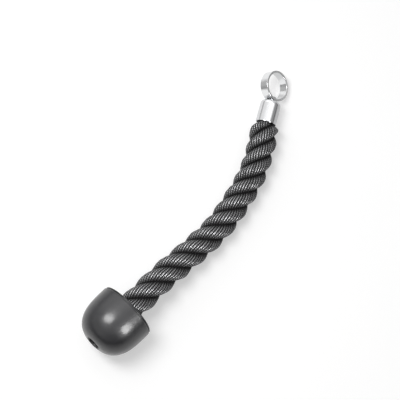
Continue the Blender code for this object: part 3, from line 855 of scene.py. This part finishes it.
def makeFloor(paper):
    deselectAll()
    bpy.ops.mesh.primitive_plane_add(size=paper["size"], location=(0, 0, -paper["drop"]))
    floor = bpy.context.object
    floor.name = "floor"
    material, tree, shader = newMaterial("floorPaper")
    shader.inputs["Base Color"].default_value = (*paper["colour"], 1.0)
    shader.inputs["Roughness"].default_value = 1.0
    shader.inputs["Specular IOR Level"].default_value = 0.0
    place = placeOn(tree)
    split = splitOn(tree, place)
    ray = addNode(tree, "ShaderNodeLightPath").outputs
    away = addNode(tree, "ShaderNodeVectorMath", operation="LENGTH")
    tree.links.new(place, away.inputs[0])
    distance = away.outputs["Value"]
    # painted reflection: the paper glows only in gloss, behind the rope and on the stopper's side,
    # fading with distance
    side = mathOn(tree, "MAXIMUM", spanOn(tree, split["Y"], *paper["growsBack"]),
                  spanOn(tree, split["X"], *paper["growsFront"]))
    near = spanOn(tree, distance, *paper["reach"], paper["paintedReflectionGlow"], paper["faded"])
    paintedReflectionGlow = mathOn(tree, "MULTIPLY", mathOn(tree, "MULTIPLY", near, side), ray["Is Glossy Ray"])
    direct = mathOn(tree, "MAXIMUM", ray["Is Camera Ray"], ray["Is Transmission Ray"])
    glowing = spanOn(tree, distance, *paper["farAway"], *paper["glow"])
    glow = addNode(tree, "ShaderNodeEmission")
    tree.links.new(mathOn(tree, "MULTIPLY_ADD", direct, glowing, paintedReflectionGlow), glow.inputs["Strength"])
    adds = addNode(tree, "ShaderNodeAddShader")
    tree.links.new(shader.outputs["BSDF"], adds.inputs[0])
    tree.links.new(glow.outputs["Emission"], adds.inputs[1])
    tree.links.new(adds.outputs["Shader"], tree.nodes["Material Output"].inputs["Surface"])
    floor.data.materials.append(material)


room = {
    "brightSide": (-0.17, 0.985, 0.0),
    "brightSpan": (-0.65, 0.35),    # share of a direction towards it, from dim walls to bright
    "walls": (0.20, 0.95),
    "darkSide": (-0.85, -0.53, 0.0),
    "darkSpan": (-0.1, 0.6),
    "skylineShare": (0.48, 0.10),   # of the walls, below the skyline: elsewhere, on the dark side
    "skyline": (0.06, 0.36),        # rises over which the walls come up
    "overhead": (0.52, 0.84),       # rises over which the ceiling comes in
    "ceiling": 0.92,
    "eyeSide": (0.0, 0.35),         # x over which the room grows lighter
    "eyeSideShare": 1.70,
    "skyLight": 0.50,               # share of what is seen that also lights
}


def makeWorld(room):
    world = bpy.data.worlds.new("studio")
    bpy.context.scene.world = world
    world.use_nodes = True
    tree = world.node_tree
    direction = addNode(tree, "ShaderNodeTexCoord").outputs["Generated"]
    split = splitOn(tree, direction)
    towards = {}
    for way in ("brightSide", "darkSide"):
        side = addNode(tree, "ShaderNodeVectorMath", operation="DOT_PRODUCT")
        tree.links.new(direction, side.inputs[0])
        side.inputs[1].default_value = room[way]
        towards[way] = side.outputs["Value"]
    rise = split["Z"]
    walls = spanOn(tree, towards["brightSide"], *room["brightSpan"], *room["walls"])
    share = spanOn(tree, towards["darkSide"], *room["darkSpan"], *room["skylineShare"])
    rest = mathOn(tree, "SUBTRACT", 1.0, share)
    risen = mathOn(tree, "MULTIPLY_ADD", spanOn(tree, rise, *room["skyline"]), rest, share)
    level = mathOn(tree, "MAXIMUM", mathOn(tree, "MULTIPLY", walls, risen),
                   spanOn(tree, rise, *room["overhead"], 0.0, room["ceiling"]))
    level = mathOn(tree, "MULTIPLY", level,
                   spanOn(tree, split["X"], *room["eyeSide"], 1.0, room["eyeSideShare"]))
    ray = addNode(tree, "ShaderNodeLightPath").outputs
    seen = mathOn(tree, "MAXIMUM", ray["Is Glossy Ray"], ray["Is Transmission Ray"])
    level = mathOn(tree, "MULTIPLY", level, spanOn(tree, seen, 0, 1, room["skyLight"], 1.0))
    background = tree.nodes["Background"]
    tree.links.new(mathOn(tree, "MAXIMUM", level, ray["Is Camera Ray"]),
                   background.inputs["Strength"])
    background.inputs["Color"].default_value = (1.0, 1.0, 1.0, 1.0)


lampAim = (-0.140, 0.0, 0.035)      # the stopper
lampDistance = 1.3
lamps = {
    "keyLamp": {"turn": 89.0, "rise": 71.5, "roll": 0.0, "size": (0.42, 0.74), "power": 9.5,
                "inGlossOnly": False},
    "haloLamp": {"turn": 89.0, "rise": 71.5, "roll": 0.0, "size": (0.56, 0.94), "power": 4.5,
                 "inGlossOnly": True},          # a softer rim to the key's reflection
    "fillLamp": {"turn": -93.0, "rise": 35.5, "roll": -8.0, "size": (0.36, 0.76), "power": 12.0,
                 "inGlossOnly": True},          # throws no shadow
}


def makeLamp(name, lamp):
    data = bpy.data.lights.new(name, "AREA")
    data.shape = "ELLIPSE"
    data.size, data.size_y = lamp["size"]
    data.energy = lamp["power"]
    piece = bpy.data.objects.new(name, data)
    bpy.context.scene.collection.objects.link(piece)
    piece.visible_diffuse = not lamp["inGlossOnly"]
    turn, rise, roll = [math.radians(lamp[key]) for key in ("turn", "rise", "roll")]
    away = Vector((math.cos(rise) * math.cos(turn), math.cos(rise) * math.sin(turn),
                   math.sin(rise)))
    piece.location = Vector(lampAim) + away * lampDistance
    piece.rotation_euler = (away.to_track_quat("Z", "Y").to_matrix()
                            @ Matrix.Rotation(roll, 3, "Z")).to_euler()


makeFloor(floorPaper)
makeWorld(room)
for lampName, lamp in lamps.items():
    makeLamp(lampName, lamp)
bpy.context.scene.view_settings.view_transform = "Standard"
print("studio lit")
